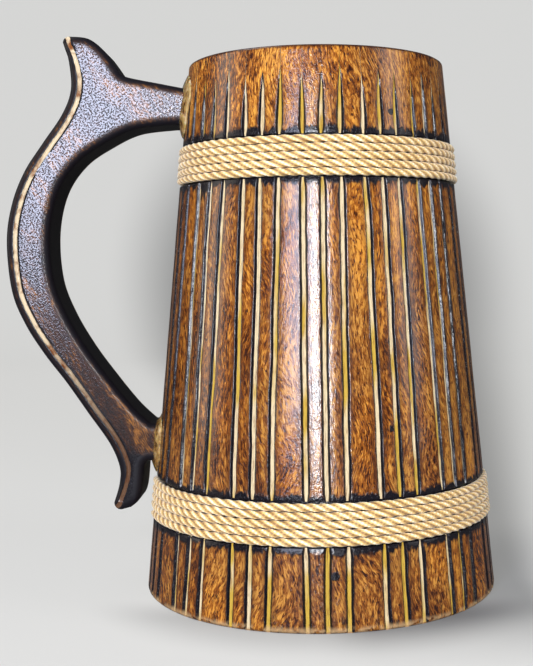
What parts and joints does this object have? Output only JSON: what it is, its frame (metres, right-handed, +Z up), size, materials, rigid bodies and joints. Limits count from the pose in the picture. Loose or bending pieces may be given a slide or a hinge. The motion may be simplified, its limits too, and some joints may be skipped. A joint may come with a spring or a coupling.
{
  "type": "beer mug",
  "caption": "Tapered wooden mug of glued staves with carved grooves, two rope bands, a steel liner and a curved side handle with a thumb crest.",
  "frame": {"origin": "centre of the base, on the surface that the mug stands on", "axes": "+Z up along the mug's axis, -X towards the handle, -Y towards the front"},
  "size_m": [0.1671, 0.1201, 0.1904],
  "materials": {
    "stave_wood": "scorched, oiled and gloss lacquered",
    "bottom_wood": "turned, thin lacquer",
    "handle_wood": "dark stain under gloss lacquer",
    "dowel_wood": "bare beech",
    "jute_rope": "three-strand laid rope, matt",
    "liner_steel": "spun and brushed",
    "amber_glue": "set clear resin, glossy"
  },
  "bodies": {
    "root": {"stave_01": "stave_wood", "stave_02": "stave_wood", "stave_03": "stave_wood", "stave_04": "stave_wood", "stave_05": "stave_wood", "stave_06": "stave_wood", "stave_07": "stave_wood", "stave_08": "stave_wood", "stave_09": "stave_wood", "stave_10": "stave_wood", "stave_11": "stave_wood", "stave_12": "stave_wood", "stave_13": "stave_wood", "stave_14": "stave_wood", "stave_15": "stave_wood", "bottom_disc": "bottom_wood", "steel_liner": "liner_steel", "upper_rope_band": "jute_rope", "lower_rope_band": "jute_rope", "handle": "handle_wood", "upper_dowel": "dowel_wood", "lower_dowel": "dowel_wood", "upper_glue_fillet": "amber_glue", "lower_glue_fillet": "amber_glue"}
  },
  "joints": []
}
